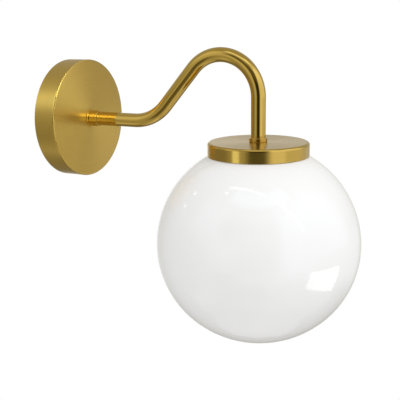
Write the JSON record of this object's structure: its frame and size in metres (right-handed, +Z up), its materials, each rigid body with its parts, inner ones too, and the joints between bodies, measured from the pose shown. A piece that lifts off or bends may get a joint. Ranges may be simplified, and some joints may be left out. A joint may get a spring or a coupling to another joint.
{
  "type": "globe wall sconce",
  "caption": "Brass wall sconce: a round wall plate, a swan-neck arm and a shallow cap that holds an opal glass globe by its neck.",
  "frame": {"origin": "on the wall plane, behind the middle of the round wall plate", "axes": "+Y into the wall, so the lamp stands out towards -Y; +Z up; +X to the right of someone who faces the wall"},
  "size_m": [0.2, 0.32, 0.2866],
  "materials": {
    "spun_brass": "satin, spun, clear lacquered",
    "polished_brass": "polished, clear lacquered",
    "zinc_steel": "zinc plated, dull",
    "plain_brass": "as turned",
    "opal_glass": "gloss, opal white all through",
    "gasket_rubber": "matt, translucent white silicone",
    "black_phenolic": "moulded, half matt",
    "porcelain": "glazed white ceramic",
    "nickel_plate": "nickel plated, soft gloss",
    "white_polyamide": "moulded, half matt",
    "white_sheath": "extruded, smooth",
    "core_sleeves": "extruded, smooth, brown and blue",
    "earth_sleeve": "extruded, smooth, green and yellow",
    "clear_glass": "clear, gloss",
    "black_glass": "fused glass, gloss",
    "tin": "soldered, soft gloss",
    "lead_wire": "drawn wire",
    "phosphor": "phosphor coating, matt"
  },
  "bodies": {
    "fixture": {"wall_bracket": "zinc_steel", "wall_plate": "spun_brass", "side_screws": "zinc_steel", "earth_screw": "plain_brass", "earth_tag": "tin", "terminal_block": "white_polyamide", "terminal_screws": "zinc_steel", "plate_cores": "core_sleeves", "earth_lead": "earth_sleeve", "arm_nipple": "zinc_steel", "plate_lock_washer": "zinc_steel", "plate_nut": "zinc_steel", "holder_nipple": "zinc_steel", "cap_lock_washer": "zinc_steel", "cap_nut": "zinc_steel", "collar_washer": "polished_brass", "arm_collar": "polished_brass", "arm_tube": "polished_brass", "flex": "white_sheath", "tube_bush": "plain_brass", "cap_ring": "polished_brass", "globe_cap": "spun_brass", "gallery": "plain_brass", "holder_cap": "black_phenolic", "holder_insulator": "porcelain", "holder_terminals": "plain_brass", "holder_cores": "core_sleeves", "holder_skirt": "black_phenolic", "screw_shell": "nickel_plate", "centre_contact": "plain_brass"},
    "globe_carrier": {"globe_gasket": "gasket_rubber"},
    "globe": {"globe": "opal_glass"},
    "bulb_carrier": {"bulb_contact": "tin"},
    "bulb": {"bulb_insulator": "black_glass", "bulb_base": "nickel_plate", "bulb_glass": "clear_glass", "bulb_stem": "clear_glass", "bulb_lead_wires": "lead_wire", "bulb_filaments": "phosphor"}
  },
  "joints": [
    {"name": "globe_drop", "type": "slide", "parent": "fixture", "child": "globe_carrier", "axis": [0, 0, -1], "range_m": [0, 0.0081]},
    {"name": "globe_turn", "type": "hinge", "parent": "globe_carrier", "child": "globe", "pos_m": [0, -0.22, -0.0178], "axis": [0, 0, -1], "range_deg": [0, 720]},
    {"name": "bulb_drop", "type": "slide", "parent": "fixture", "child": "bulb_carrier", "axis": [0, 0, -1], "range_m": [0, 0.0182]},
    {"name": "bulb_turn", "type": "hinge", "parent": "bulb_carrier", "child": "bulb", "pos_m": [0, -0.22, -0.054], "axis": [0, 0, -1], "range_deg": [0, 1800]}
  ],
  "couplings": [
    {"joint": "globe_drop", "follows": "globe_turn", "m_per_rad": 0.00063662},
    {"joint": "bulb_drop", "follows": "bulb_turn", "m_per_rad": 0.00057614}
  ]
}
